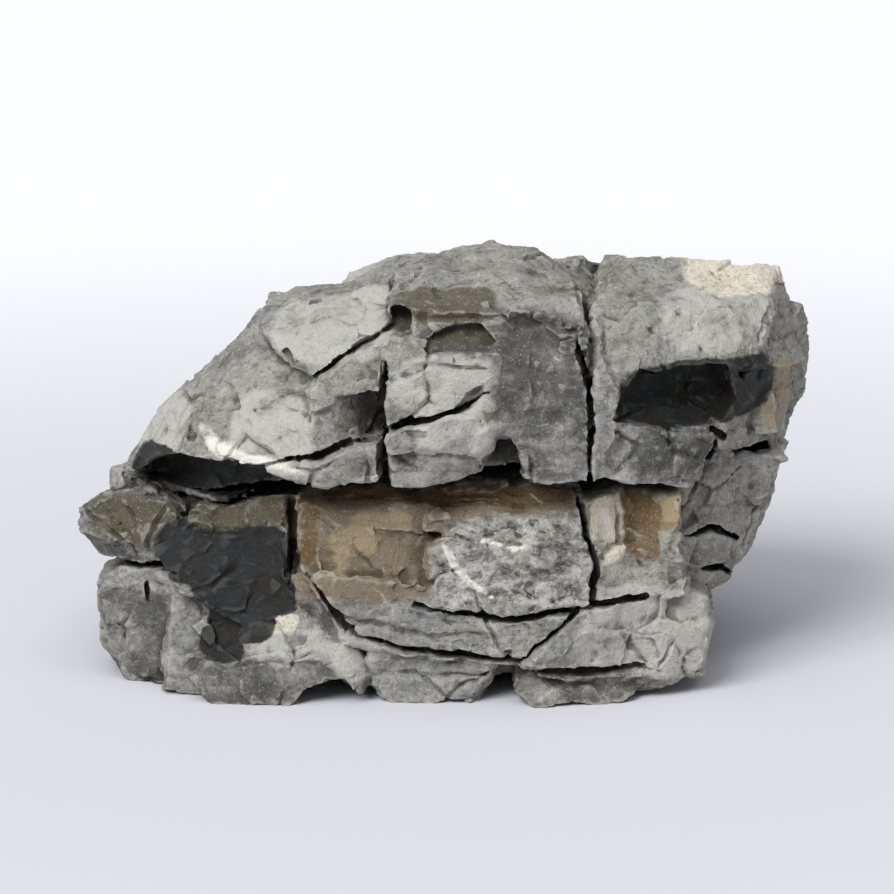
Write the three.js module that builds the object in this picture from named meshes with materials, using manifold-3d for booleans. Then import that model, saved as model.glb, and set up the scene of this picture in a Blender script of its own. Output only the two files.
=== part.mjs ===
// A grey aquarium rock of bedded limestone, 200 mm wide: a jointed upper slab that overhangs a
// broken lower mass, with an open bedding crack between the two. One stone, one solid.
// Millimetres, +Z up, the base on Z = 0. The best side of the stone looks along -Y.

import * as THREE from "three";
import { ConvexGeometry } from "three/addons/geometries/ConvexGeometry.js";
import { ImprovedNoise } from "three/addons/math/ImprovedNoise.js";
import { mergeVertices } from "three/addons/utils/BufferGeometryUtils.js";
import Module from "manifold-3d";

const wasm = await Module();
wasm.setup();

// Driving dimensions. A cutter starts FAR_OUT in front of the stone, and a crack opens at its skin.
const WIDTH = 200;
const FAR_OUT = 90;
const SKIN = 62;

// A block's face is bevelled by this much of its wear, and a crack's root is this much of its mouth.
const BEVEL = 1.4;
const ROOT = 0.3;

// How the weather has bent the fresh breaks: [wavelength, height] of each round of waves, and how
// much less it bends them upright
const WAVES = [
  [46, 2.4],
  [18, 1.5],
];
const UPRIGHT = 0.6;

// Where in the noise each round of waves reads, and where its y and z waves read
const ROUND_SHIFT = 7.3;
const Y_SHIFT = 31.4;
const Z_SHIFT = 57.9;

// Triangles kept before and after the weathering, the longest edge that the weather can bend, and
// the area below which a triangle isn't worth dividing
const BLOCKED_OUT = 3600;
const FINISHED = 8600;
const LONGEST_EDGE = 10;
const SLIVER = 10;

// Points closer than this are one point.
const TOUCHING = 1e-4;

// A triangle may turn until its old and new directions agree by only this much.
const LEAST_AGREEMENT = 0.2;

// Triangles below this area shape nothing. Dropping an edge costs a little for its length, and only
// the cheapest share of the edges is dropped in one round.
const NO_AREA = 1e-3;
const LENGTH_COST = 1e-3;
const DROPPED_AT_ONCE = 1 / 3;

// A closed geometry as a solid that can be joined and cut.
function solidOf(geometry) {
  geometry.deleteAttribute("normal");
  geometry.deleteAttribute("uv");
  const merged = mergeVertices(geometry, TOUCHING);
  return new wasm.Manifold(
    new wasm.Mesh({
      numProp: 3,
      vertProperties: new Float32Array(merged.attributes.position.array),
      triVerts: new Uint32Array(merged.index.array),
    }),
  );
}

// The convex lump that spans a list of [x, y, z] corners.
function lump(corners) {
  return solidOf(new ConvexGeometry(corners.map((p) => new THREE.Vector3(...p))));
}

function middle(outline) {
  const sum = outline.reduce(([a, b], [x, z]) => [a + x, b + z], [0, 0]);
  return sum.map((s) => s / outline.length);
}

// A point seen from in front, at x, z and depth, turned by facing degrees round the Z axis.
function turned(x, depth, z, facing) {
  const angle = THREE.MathUtils.degToRad(facing);
  return [
    x * Math.cos(angle) - depth * Math.sin(angle),
    x * Math.sin(angle) + depth * Math.cos(angle),
    z,
  ];
}

// A block as it is seen from in front: outline is the [x, z] corners of its face, and face is
// [y at the middle, how much y grows per mm of x, and per mm of z]. A corner [x, z, y] has a depth
// of its own. Behind its face the block swells by wear all round, and it runs into the stone as far
// as back, where it has sunk by sink. facing turns it round the Z axis: 90 puts it on the right
// side, 180 on the back.
function block({ outline, face = [0, 0, 0], back = 0, sink = 0, wear = 1.8, facing = 0 }) {
  const [mx, mz] = middle(outline);
  const [y, perX, perZ] = face;
  const corners = [];
  for (const [x, z, own] of outline) {
    const onFace = own ?? y + perX * (x - mx) + perZ * (z - mz);
    const swell = 1 + wear / Math.hypot(x - mx, z - mz);
    corners.push(turned(x, onFace, z, facing));
    corners.push(turned(mx + (x - mx) * swell, onFace + BEVEL * wear, mz + (z - mz) * swell, facing));
    corners.push(turned(x, back, z - sink, facing));
  }
  return lump(corners);
}

// A crack seen from in front along a path of [x, z, width] points. It narrows from its mouth to
// its root.
function crack({ path, mouth = -SKIN, root, facing = 0 }) {
  const parts = [];
  for (let i = 1; i < path.length; i++) {
    const corners = [];
    const [xa, za] = path[i - 1];
    const [xb, zb] = path[i];
    const length = Math.hypot(xb - xa, zb - za);
    const side = [-(zb - za) / length, (xb - xa) / length];
    for (const [x, z, width] of [path[i - 1], path[i]])
      for (const [depth, share] of [
        [-FAR_OUT, 1],
        [mouth, 1],
        [root, ROOT],
      ])
        for (const sign of [-1, 1]) {
          const off = (sign * width * share) / 2;
          corners.push(turned(x + side[0] * off, depth, z + side[1] * off, facing));
        }
    parts.push(lump(corners));
  }
  return parts.reduce((a, b) => a.add(b));
}

// A small hollow at a point on the surface: size is its half width, depth and half height.
function pit({ at, size }) {
  return solidOf(new THREE.IcosahedronGeometry(1, 0).scale(...size).translate(...at));
}

// The two masses and what still joins them behind the bedding crack
const CORES = [
  [
    [-80, -8, 58], [-62, -26, 60], [-40, -42, 61], [40, -48, 61], [70, -38, 62], [92, -8, 60],
    [95, 12, 74], [90, 38, 66], [40, 60, 62], [-40, 62, 60], [-78, 32, 54], [-60, 0, 80],
    [-46, -6, 94], [-30, -12, 99], [-8, -16, 107], [14, -16, 109], [26, -16, 108],
    [48, -16, 107], [86, -10, 105], [90, 12, 103], [82, 38, 97], [34, 54, 88], [-20, 54, 88],
    [-58, 38, 74], [-72, 6, 67], [-5, 6, 108], [13, 8, 109], [56, 8, 107],
  ],
  [
    [-86, -16, 46], [-40, -42, 51], [40, -44, 53], [62, -38, 54], [88, -4, 57], [86, 26, 56],
    [68, 48, 54], [20, 60, 54], [-50, 56, 50], [-84, 24, 44], [-76, -28, 4], [-40, -44, 4],
    [20, -50, 4], [58, -40, 4], [64, -10, 4], [60, 34, 4], [20, 50, 4], [-40, 50, 4], [-78, 22, 4],
  ],
  [
    [-74, -8, 44], [-40, -24, 48], [60, -24, 48], [84, 0, 48], [78, 34, 48], [30, 54, 48],
    [-40, 54, 46], [-74, 28, 42], [-70, -6, 60], [-40, -24, 66], [60, -24, 68], [84, 0, 68],
    [78, 34, 68], [30, 52, 68], [-40, 50, 64], [-68, 28, 56],
  ],
].map(lump);

// The upper slab, from left to right
const UPPER = [
  // the big light face of the left shoulder, its end, and the pillar below that end
  { outline: [[-70, 64, -45], [-61, 66, -50], [-46, 62, -56], [-37, 66, -57], [-33, 76, -54],
      [-35, 86, -46], [-48, 97, -26], [-62, 85, -22], [-74, 70, -30]],
    back: 20, sink: 14 },
  { outline: [[-85, 53, -24], [-88, 54, -14], [-77, 69, -16], [-63, 84, -18], [-68, 71, -40],
      [-71, 64, -44], [-78, 61, -36]],
    back: 22, sink: 14 },
  { outline: [[-88, 44, -12], [-89, 52, -10], [-84, 57, -22], [-81, 50, -27]], back: 10, sink: 3, wear: 1 },
  // the dark rough rock at the back of the undercut
  { outline: [[-83, 49, -14], [-80, 60, -14], [-66, 66, -28], [-48, 65, -40], [-42, 56, -48],
      [-44, 54, -50], [-64, 50, -38]], wear: 0.8 },
  // the knob above the shoulder, and the ledge under its slanting crack
  { outline: [[-47, 95, -36], [-48, 100, -10], [-39, 101, -12], [-30, 103, -14], [-18, 108, -16],
      [-17, 100, -43], [-20, 96, -46], [-35, 87, -50], [-42, 89, -44]],
    back: 24, sink: 12 },
  { outline: [[-36, 85, -53], [-20, 95, -50], [-16, 98, -48], [-16, 84, -54], [-30, 82, -55],
      [-36, 78, -56]], wear: 1.2 },
  // the hollow beside the upright joint, and the sliver under it
  { outline: [[-35, 84, -54], [-17, 85, -52], [-17, 66, -54], [-36, 64, -57]], wear: 1 },
  { outline: [[-50, 61, -58], [-38, 65, -60], [-26, 70, -60], [-17, 73, -60], [-17, 60.5, -61],
      [-40, 60, -60]], wear: 1 },
  // the middle block: brow, upper face, centre face and foot
  { outline: [[-14, 105, -47], [-12, 110, -28], [-5, 112, -10], [13, 113, -10], [25, 111.5, -10],
      [35, 107, -12], [36, 105, -34], [26, 104, -48], [8, 104, -52]],
    back: 30, sink: 12 },
  { outline: [[-15, 104, -47], [9, 105, -48], [24, 104, -48], [24, 92, -57], [12, 92, -60],
      [-15, 92, -58]], wear: 1.4 },
  { outline: [[-16, 94, -57], [12, 95, -59], [24, 93, -58], [23, 72, -61], [10, 74, -62],
      [-16, 74, -61]], wear: 1.4 },
  { outline: [[-15, 75, -63], [-4, 77, -65], [8, 78, -65], [13, 74, -63], [9, 68, -64], [0, 69, -66],
      [-8, 70, -65], [-15, 68, -64]],
    wear: 1 },
  { outline: [[-15, 71, -61], [12, 71, -61], [9, 62, -60], [-2, 60, -62], [-14, 59.5, -64]], wear: 1 },
  // the flat panel between two upright joints
  { outline: [[11, 101, -51], [24, 105, -47], [36, 106, -45], [37, 93, -57], [38, 60, -61],
      [22, 60, -61], [20, 84, -61], [12, 92, -60]],
    wear: 1.2 },
  // the right block, round and under its dark chip
  { outline: [[40, 88, -57], [51, 90, -55], [76, 88, -46], [87, 85, -36], [97, 84, -18], [94, 97, -12],
      [91.5, 109, -10], [67, 109, -16], [57, 111, -16], [46, 109, -16], [41, 103, -42], [64, 102, -38],
      [86, 100, -28]],
    back: 34, sink: 12 },
  { outline: [[84, 98, -24], [94, 99, -8], [99, 97.5, -7], [100.5, 91, -6], [100, 72, -2],
      [92, 64, -10], [86, 84, -32]], back: 26, sink: 8, wear: 1 },
  { outline: [[39.5, 89, -57], [51, 91, -55], [46, 75, -58], [44, 59, -58], [39.5, 59, -60]], wear: 1 },
  { outline: [[44, 77, -57], [51, 91, -54], [76, 89, -45], [85, 77, -36], [75, 70, -42], [59, 73, -52]],
      wear: 0.6 },
  { outline: [[44, 76, -57], [59, 75, -56], [70, 74, -51], [72, 66, -48], [64, 58, -52], [44, 58, -58]],
      wear: 1.2 },
  { outline: [[83, 82, -38], [86, 90, -36], [94, 91, -22], [98, 84, -8], [98, 70, -4], [93, 60, -14],
      [74, 63, -42], [75, 70, -43]],
    back: 10, wear: 1 },
];

// The lower mass, from left to right and down
const LOWER = [
  { outline: [[-91, 48], [-80, 51], [-73, 47], [-74, 41], [-86, 38], [-98, 39], [-98, 44]],
    face: [-35, -0.55, 0.3], back: 12, sink: 6 },
  { outline: [[-97, 37], [-76, 40], [-70, 34], [-80, 32], [-94, 33]],
      face: [-36, -0.5, 0], back: 8, wear: 1.3 },
  // the dark fresh face with a pale rim
  { outline: [[-76, 38], [-66, 44], [-43, 45], [-41, 24], [-51, 17], [-71, 27]], face: [-51, -0.12, 0.1] },
  { outline: [[-75, 42, -44], [-66, 48, -41], [-44, 50.5, -43], [-43, 45, -51], [-66, 44, -48]],
      wear: 0.8 },
  // the cornerstone at the left foot
  { outline: [[-94, 25], [-83, 31], [-73, 29], [-69, 3], [-83, -2], [-93, 8]],
      face: [-40, -0.45, 0.05], back: 5 },
  { outline: [[-74, 29], [-66, 28], [-53, 19], [-53, 11], [-64, -2], [-76, -2]],
      face: [-50, -0.1, 0.3], back: -5 },
  // the smooth tan face
  { outline: [[-40, 51], [-4, 52.5], [-4, 30], [-24, 26], [-39, 35]], face: [-54, 0.05, 0.28] },
  { outline: [[-40, 54, -40], [-4, 55.5, -42], [-3, 51, -51], [-40, 50, -50]], wear: 0.6 },
  { outline: [[-42, 36, -51], [-38, 37, -54], [-24, 28, -57], [-22, 18, -57], [-32, 15, -56],
      [-42, 22, -52]], wear: 0.6 },
  // the rough lump with white veins
  { outline: [[-3, 42], [4, 47], [35, 47], [39, 39], [39, 28], [12, 23], [-3, 27]],
    face: [-61, 0.06, 0.12], wear: 2.4 },
  { outline: [[-6, 55.5, -44], [36, 56, -46], [37, 50, -57], [36, 46, -58], [-5, 46, -57],
      [-5, 50, -55]], wear: 0.8 },
  // the rusty hollow right of it: two faces that meet in a valley
  { outline: [[37, 53], [48, 54], [48, 34], [41, 30]], face: [-51, 0.7, 0.1], wear: 1 },
  { outline: [[47, 54], [62, 54.5], [63, 38], [47, 36]], face: [-50, -0.45, 0.25], wear: 1 },
  { outline: [[41, 38], [52, 40], [63, 38], [64, 28], [42, 28]], face: [-55, 0.1, 0.25] },
  // the right flank, which turns away from the front
  { outline: [[62, 57], [73, 62], [94, 58], [88, 46], [85, 34], [78, 27], [64, 24], [61, 40]],
    face: [-32, 0.85, 0], back: 20 },
  // the lower band, and the ledges at the foot
  { outline: [[-38, 35], [-24, 28], [-8, 25], [12, 23], [31, 26], [38, 27], [25, 12], [-10, 12], [-26, 17]],
    face: [-61, 0, 0.2] },
  { outline: [[-68, 6], [-52, 21], [-41, 23], [-27, 16], [-19, 7], [-22, 2], [-46, -2], [-60, -2]],
    face: [-60, -0.12, 0.35], wear: 1.6 },
  { outline: [[-18, 13], [14, 12], [11, 4], [6, -2], [-9, -2], [-17, 4]], face: [-62, 0, 0.22], back: -20 },
  { outline: [[22, 12], [37, 26], [53, 29], [68, 26], [71, 17], [69, 4], [50, 3], [28, 8]],
    face: [-58, 0.3, 0.1], back: 10 },
  { outline: [[20, 8, -58], [36, 8, -60], [52, 6, -56], [50, 2, -62], [43, -2, -66], [26, -2, -68],
      [20, 3, -64]],
    back: -20, wear: 1.2 },
];

// The sides and the back, which the front view hides
const AROUND = [
  // right end
  { facing: 90, outline: [[-30, 66], [-24, 92], [4, 97], [22, 90], [30, 66]], face: [-93, -0.12, 0.1] },
  { facing: 90, outline: [[-24, 58], [24, 60], [30, 36], [6, 26], [-22, 30]], face: [-84, 0.1, -0.45] },
  { facing: 80, outline: [[-32, 26], [-2, 30], [18, 22], [14, 2], [-24, 1]], face: [-68, 0.2, 0.15] },
  { facing: 120, outline: [[-28, 64], [-24, 84], [0, 98], [22, 92], [26, 63]],
      face: [-88, 0.3, 0.25], wear: 1.2 },
  { facing: 125, outline: [[-34, 52], [12, 56], [22, 34], [-4, 20], [-30, 26]], face: [-76, 0.2, -0.15] },
  { facing: 115, outline: [[-20, 22], [6, 30], [30, 18], [26, -2], [-8, -2]], face: [-64, -0.2, 0.2] },
  // back of the upper slab
  { facing: 150, outline: [[-60, 62], [-56, 90], [-40, 98], [-20, 97], [-6, 84], [-12, 61]],
      face: [-74, -0.12, 0.3], wear: 1 },
  { facing: 168, outline: [[-34, 76], [-30, 98], [6, 97], [14, 82]], face: [-62, 0.3, 0.5], wear: 1 },
  { facing: 186, outline: [[-24, 68], [-20, 88], [14, 91], [34, 80], [38, 62], [2, 59]],
      face: [-61, 0.2, 0.32], wear: 0.8 },
  { facing: 174, outline: [[-30, 59], [-26, 70], [10, 74], [24, 60]], face: [-66, 0.16, 0.2], wear: 1 },
  { facing: 215, outline: [[-16, 58], [-14, 76], [4, 82], [28, 72], [46, 56], [50, 50]],
      face: [-70, -0.1, 0.5], wear: 1 },
  { facing: 200, outline: [[-20, 80], [-14, 92], [22, 90], [40, 74], [10, 70]],
      face: [-52, -0.2, 0.7], wear: 1 },
  { facing: 172, outline: [[-76, 90], [-70, 102], [-44, 104], [-22, 103], [-26, 90]],
      face: [-44, -0.2, 1.2], wear: 1 },
  { facing: 184, outline: [[-22, 94], [4, 105], [24, 100], [34, 88], [-10, 86]],
      face: [-44, 0.3, 1.3], wear: 1 },
  // back of the lower mass
  { facing: 160, outline: [[-62, 50], [-14, 55], [-2, 38], [-16, 20], [-44, 16], [-60, 28]],
      face: [-64, -0.25, 0.1], wear: 1 },
  { facing: 192, outline: [[-32, 54], [22, 52], [44, 46], [34, 28], [-8, 24], [-30, 38]],
      face: [-65, -0.18, 0.3], wear: 1 },
  { facing: 182, outline: [[-14, 38], [30, 44], [44, 32], [10, 18], [-18, 24]],
      face: [-64, 0.14, -0.1], wear: 1 },
  { facing: 225, outline: [[-14, 48], [36, 46], [48, 30], [28, 14], [-4, 20]],
      face: [-74, 0.2, 0.3], wear: 1 },
  { facing: 178, outline: [[-42, 22], [-6, 30], [22, 24], [34, 8], [14, -2], [-30, -2]],
      face: [-57, 0.16, 0.3] },
  { facing: 150, outline: [[-44, 22], [-18, 27], [-6, 8], [-14, -2], [-40, -2], [-46, 6]],
      face: [-60, 0.22, 0.1] },
  { facing: 214, outline: [[-10, 22], [22, 29], [46, 20], [50, 2], [40, -2], [0, -2]],
      face: [-66, -0.2, 0.3] },
  // left end
  { facing: -90, outline: [[-28, 52], [-24, 66], [6, 76], [20, 56]], face: [-73, 0.2, 0.75] },
  { facing: -90, outline: [[-30, 44], [18, 47], [28, 30], [-10, 26], [-32, 30]], face: [-90, 0.3, 0.15] },
  { facing: -100, outline: [[-24, 24], [10, 28], [30, 20], [22, -2], [-22, -2]], face: [-86, 0.25, 0.2] },
];

// The open bedding crack and the joints: [x, z, width] along the path
const CRACKS = [
  { path: [[-82, 50, 2], [-60, 52, 3], [-40, 55, 4.4], [-12, 57, 4.8], [40, 57.5, 4.6], [66, 56.5, 3],
      [73, 62.5, 2.2], [104, 60, 2.2]],
    root: -28 },
  { path: [[-15.8, 58, 3.2], [-16, 74, 3.8], [-15.8, 92, 2.6]], root: -40 },
  { path: [[-36, 86, 1.2], [-27, 92, 1.7], [-19, 97, 2], [-12, 100, 2.4]], mouth: -48, root: -40 },
  { path: [[-46, 95, 1.2], [-42, 90, 2.6], [-38, 87, 1]], root: -38 },
  { path: [[-50, 62, 1], [-40, 65.5, 1.8], [-28, 69, 2.2], [-16, 73, 2.2]], mouth: -57, root: -50 },
  { path: [[-16, 75, 1.4], [-5, 77.4, 2], [2, 79, 2], [9, 81.5, 1.6], [13, 83.5, 1]], root: -50 },
  { path: [[38.8, 58, 1.8], [38.6, 76, 1.6], [37, 89, 2], [34, 99, 1.6], [26, 108, 1.6]], root: -42 },
  { path: [[35, 55, 1.5], [38, 44, 1.7], [40.5, 37, 2], [40, 26, 1.7]], mouth: -56, root: -42 },
  { path: [[-8, 26, 1.2], [12, 22.5, 1.8], [31, 25, 1.7], [41, 27, 1.9], [55, 28, 1.6]],
    mouth: -56, root: -46 },
  { path: [[-41.5, 54, 2.6], [-41, 40, 2.4], [-42, 30, 1.2]], mouth: -54, root: -44 },
  { path: [[-38, 34, 1.2], [-31, 25, 1.5], [-22, 18, 1.7], [-11, 14, 1.8], [11, 12.5, 1.8],
      [22, 13, 1.7], [37, 26, 1.5]],
    mouth: -57, root: -50 },
  { path: [[64, 41, 1.4], [72, 41.5, 2], [82, 37, 1.6]], mouth: -28, root: -14 },
  { path: [[68, 31, 1.2], [74, 30.5, 1.8], [80, 27, 1.3]], mouth: -28, root: -16 },
  { path: [[19, 10, 1.6], [34, 9, 2.4], [52, 8, 2.4], [68, 5, 1.6]], root: -54 },
  { path: [[-94, 31, 3], [-82, 30.5, 2.6], [-70, 33, 1.6]], root: -22 },
  { path: [[-82, 27, 1.8], [-82.5, 15, 1.4]], mouth: -42, root: -32 },
  { facing: 90, path: [[-40, 62, 2.4], [0, 58, 3], [40, 60, 2.4]], mouth: -90, root: -76 },
  { facing: 180, path: [[-90, 60, 2.4], [-50, 58, 3], [-20, 56.5, 3.6], [12, 58, 2.2], [44, 56, 3.2],
      [90, 52, 2.4]], mouth: -66, root: -48 },
  { facing: 180, path: [[-26, 60, 2], [-30, 78, 1.6], [-27, 96, 1.4]], root: -54 },
  { facing: 200, path: [[-14, 50, 2], [-4, 34, 1.6], [16, 22, 1.6]], mouth: -66, root: -54 },
  { facing: -90, path: [[-40, 50, 2.4], [0, 52, 3], [34, 54, 2]], mouth: -88, root: -76 },
];

// Notches and undercuts that break the outline
const NOTCHES = [
  // the top edge, between the middle and the right block
  [[24, -70, 122], [52, -70, 122], [38, -60, 102], [37, -20, 104.5], [41, 12, 104], [32, 36, 118],
      [52, 34, 118], [44, 34, 99]],
  // the chip in the right block: deep under its straight upper edge, and flush at its foot
  [[51, -80, 90], [76, -80, 88.5], [85, -80, 77], [76, -80, 71], [59, -80, 74.5], [44, -80, 76],
      [52, -42, 89.5], [75, -32, 88], [79, -33, 78], [74, -39, 71.5], [59, -50, 74.5], [45, -56, 76]],
  // the hollow beside the upright joint, deepest next to it
  [[-32, -80, 83], [-16, -80, 85], [-16, -80, 70], [-30, -80, 69], [-29, -53.5, 82], [-16, -42, 84.5],
      [-16, -42, 74], [-29, -55.5, 70]],
  // the recess where the knob meets the brow
  [[-17, -80, 97], [-17.5, -80, 105], [-11, -80, 108], [-6, -80, 103], [-9, -80, 97.5], [-16, -43, 98],
      [-15, -38, 104], [-10, -39, 104], [-9, -44, 98]],
  // the arched flake scar above the centre face, deep under its arch and flush at its foot
  [[-9, -80, 95], [-5, -80, 99], [3, -80, 102], [10, -80, 101], [17, -80, 97], [12, -80, 94],
      [-4, -80, 93.4],
   [-4, -49, 98.6], [3, -46.5, 101.4], [10, -47.5, 100.6], [14, -51, 97], [-6, -53, 95.4],
       [11, -54.5, 94.6], [-3, -55.5, 94]],
  // the shallow wide end of the slanting crack
  [[1, -80, 79], [6, -80, 84.6], [12, -80, 86.6], [12.6, -80, 84], [7, -80, 79.4], [2, -57.5, 80],
      [6, -56.5, 84], [11.6, -57, 86], [12, -58, 84.4], [7, -57.5, 80]],
  // the undercut below the left shoulder
  [[-84, -80, 51], [-81, -80, 60], [-72, -80, 64.5], [-61, -80, 66.5], [-50, -80, 65], [-42, -80, 60],
      [-43, -80, 54], [-65, -80, 50.5], [-80, -16, 57], [-72, -24, 63], [-61, -35, 65], [-50, -45, 63],
      [-43, -52, 59], [-43, -52, 55], [-65, -33, 52], [-81, -17, 52]],
  // under the middle block's foot
  [[8, -75, 67.5], [21, -75, 68.5], [23, -75, 60], [7, -75, 60], [10, -58.5, 66], [20, -57, 66],
      [20, -56, 60], [9, -57, 60]],
  // beside the block under the chip
  [[71, -75, 71], [77, -75, 71], [78, -75, 64], [72, -75, 65], [72, -40, 70], [76, -36, 70], [76, -36, 65]],
  // the arches at the base
  [[-44, -80, -4], [-19, -80, -4], [-24, -80, 7], [-36, -80, 5], [-44, -30, -4], [-22, -30, -4],
      [-32, -30, 4]],
  [[8, -80, -4], [18, -80, -4], [14, -80, 4], [8, -40, -4], [18, -40, -4], [13, -40, 3]],
].map(lump);

const PITS = [
  { at: [26, -62, 79], size: [2, 3, 1.3] },
  { at: [33, -53, 99.5], size: [2.9, 6, 2.1] },
  { at: [32.5, -59, 92], size: [1.8, 3, 1.1] },
  { at: [55, -46, 97], size: [1.7, 4, 1.7] },
  { at: [20, -50, 103], size: [1.5, 3, 1.5] },
  { at: [93, -17, 86], size: [1.9, 4, 1.4] },
  { at: [28, -64, 42], size: [1.6, 3, 1.4] },
  { at: [18, -64, 44], size: [1.8, 3, 1.2] },
];

// A solid as plain arrays of points and triangles.
function meshOf(solid) {
  const { vertProperties, triVerts, numProp } = solid.getMesh();
  const points = [];
  for (let i = 0; i < vertProperties.length; i += numProp)
    points.push(new THREE.Vector3().fromArray(vertProperties, i));
  const triangles = [];
  for (let i = 0; i < triVerts.length; i += 3) triangles.push([...triVerts.slice(i, i + 3)]);
  return { points, triangles };
}

// How far a point lies from the planes that a corner stood on, summed with their areas.
function strain(planes, point) {
  return planes.reduce((sum, { plane, area }) => sum + area * plane.distanceToPoint(point) ** 2, 0);
}

// Drops corners, those that shape the surface least first, until most triangles are left. The
// surface stays whole, and no triangle turns over.
function simplify({ points, triangles }, most) {
  let live = triangles.map((t) => [...t]);
  const planes = points.map(() => []);
  for (const t of live) {
    const flat = new THREE.Triangle(...t.map((i) => points[i]));
    const entry = { plane: flat.getPlane(new THREE.Plane()), area: flat.getArea() };
    if (entry.area > NO_AREA) t.forEach((i) => planes[i].push(entry));
  }
  const normal = (corners) =>
    new THREE.Vector3().crossVectors(corners[1].clone().sub(corners[0]), corners[2].clone().sub(corners[0]));
  while (live.length > most) {
    const around = points.map(() => []);
    live.forEach((t) => t.forEach((i) => around[i].push(t)));
    const joins = [];
    for (const t of live)
      t.forEach((a, k) => {
        const b = t[(k + 1) % 3];
        if (a > b) return;
        const half = points[a].clone().add(points[b]).multiplyScalar(0.5);
        const both = [...new Set([...planes[a], ...planes[b]])];
        const [cost, to] = [half, points[a], points[b]]
          .map((p) => [strain(both, p), p])
          .reduce((least, one) => (one[0] < least[0] ? one : least));
        const length = points[a].distanceToSquared(points[b]);
        joins.push({ a, b, to: to.clone(), both, cost: cost + LENGTH_COST * length });
      });
    joins.sort((e, f) => e.cost - f.cost);
    const touched = new Set();
    const dropped = new Set();
    for (const { a, b, to, both } of joins.slice(0, Math.ceil(joins.length * DROPPED_AT_ONCE))) {
      if (live.length - dropped.size <= most) break;
      const fan = [...new Set([...around[a], ...around[b]])];
      const near = new Set(fan.flat());
      if ([...near].some((i) => touched.has(i))) continue;
      const ring = new Set(around[a].flat());
      const shared = [...new Set(around[b].flat())].filter((i) => i !== a && i !== b && ring.has(i));
      const turns = fan
        .filter((t) => !(t.includes(a) && t.includes(b)))
        .some((t) => {
          const before = normal(t.map((i) => points[i]));
          const after = normal(t.map((i) => (i === a || i === b ? to : points[i])));
          return before.dot(after) <= LEAST_AGREEMENT * before.length() * after.length();
        });
      if (shared.length !== 2 || turns) continue;
      points[a].copy(to);
      planes[a] = both;
      fan.filter((t) => t.includes(a) && t.includes(b)).forEach((t) => dropped.add(t));
      around[b].forEach((t) => t.forEach((i, k) => i === b && (t[k] = a)));
      near.forEach((i) => touched.add(i));
    }
    if (!dropped.size) break;
    live = live.filter((t) => !dropped.has(t));
  }
  return { points, triangles: live };
}

// Halves the edges longer than longest, the same way on both sides, until only slivers have any.
function refine({ points, triangles }, longest, sliver) {
  const keyOf = (a, b) => (a < b ? a * 1e6 + b : b * 1e6 + a);
  for (;;) {
    const wide = new Set();
    for (const [a, b, c] of triangles)
      if (new THREE.Triangle(points[a], points[b], points[c]).getArea() > sliver)
        for (const key of [keyOf(a, b), keyOf(b, c), keyOf(c, a)]) wide.add(key);
    const halves = new Map();
    const half = (a, b) => {
      const key = keyOf(a, b);
      if (!wide.has(key) || points[a].distanceTo(points[b]) <= longest) return -1;
      if (!halves.has(key)) {
        halves.set(key, points.length);
        points.push(points[a].clone().add(points[b]).multiplyScalar(0.5));
      }
      return halves.get(key);
    };
    const next = [];
    for (const corners of triangles) {
      const cut = corners.map((a, i) => half(a, corners[(i + 1) % 3]));
      const count = cut.filter((m) => m >= 0).length;
      if (count === 0) next.push(corners);
      else if (count === 3) {
        const [a, b, c] = corners;
        const [ab, bc, ca] = cut;
        next.push([a, ab, ca], [ab, b, bc], [ca, bc, c], [ab, bc, ca]);
      } else {
        // Turn the triangle so that its first edge is cut, and its last one isn't.
        let turn = 0;
        while (cut[turn] < 0 || cut[(turn + 2) % 3] >= 0) turn++;
        const [a, b, c] = [0, 1, 2].map((i) => corners[(turn + i) % 3]);
        const [ab, bc] = [0, 1].map((i) => cut[(turn + i) % 3]);
        if (bc < 0) next.push([a, ab, c], [ab, b, c]);
        else next.push([a, ab, bc], [ab, b, bc], [a, bc, c]);
      }
    }
    if (!halves.size) return { points, triangles };
    triangles = next;
  }
}

// Bends the whole stone by smooth waves, so that no face is quite flat and no edge quite straight.
function weather(points) {
  const noise = new ImprovedNoise();
  for (const p of points) {
    const moved = p.clone();
    WAVES.forEach(([length, height], round) => {
      const q = p.clone().divideScalar(length).addScalar(ROUND_SHIFT * (round + 1));
      moved.x += height * noise.noise(q.x, q.y, q.z);
      moved.y += height * noise.noise(q.y + Y_SHIFT, q.z, q.x);
      moved.z += UPRIGHT * height * noise.noise(q.z, q.x, q.y + Z_SHIFT);
    });
    p.copy(moved);
  }
}

function geometryOf({ points, triangles }) {
  const geometry = new THREE.BufferGeometry();
  geometry.setAttribute(
    "position",
    new THREE.Float32BufferAttribute(points.flatMap((p) => p.toArray()), 3),
  );
  geometry.setIndex(triangles.flat());
  return geometry;
}

let stone = [...CORES, ...[...UPPER, ...LOWER, ...AROUND].map(block)].reduce((a, b) => a.add(b));
for (const hollow of [...CRACKS.map(crack), ...NOTCHES, ...PITS.map(pit)])
  stone = stone.subtract(hollow);

const fresh = refine(simplify(meshOf(stone), BLOCKED_OUT), LONGEST_EDGE, SLIVER);
weather(fresh.points);
const worn = simplify(fresh, FINISHED);

// The feet are ground flat where the stone stands.
const floor = new THREE.BoxGeometry(3 * WIDTH, 3 * WIDTH, 60).translate(0, 0, -30);
const standing = solidOf(geometryOf(worn)).subtract(solidOf(floor));

const whole = standing.decompose().sort((a, b) => b.volume() - a.volume())[0];
const finished = geometryOf(meshOf(whole));
finished.computeBoundingBox();
const { min, max } = finished.boundingBox;
const scale = WIDTH / (max.x - min.x);
finished.translate(-(min.x + max.x) / 2, -(min.y + max.y) / 2, -min.z).scale(scale, scale, scale);

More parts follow.
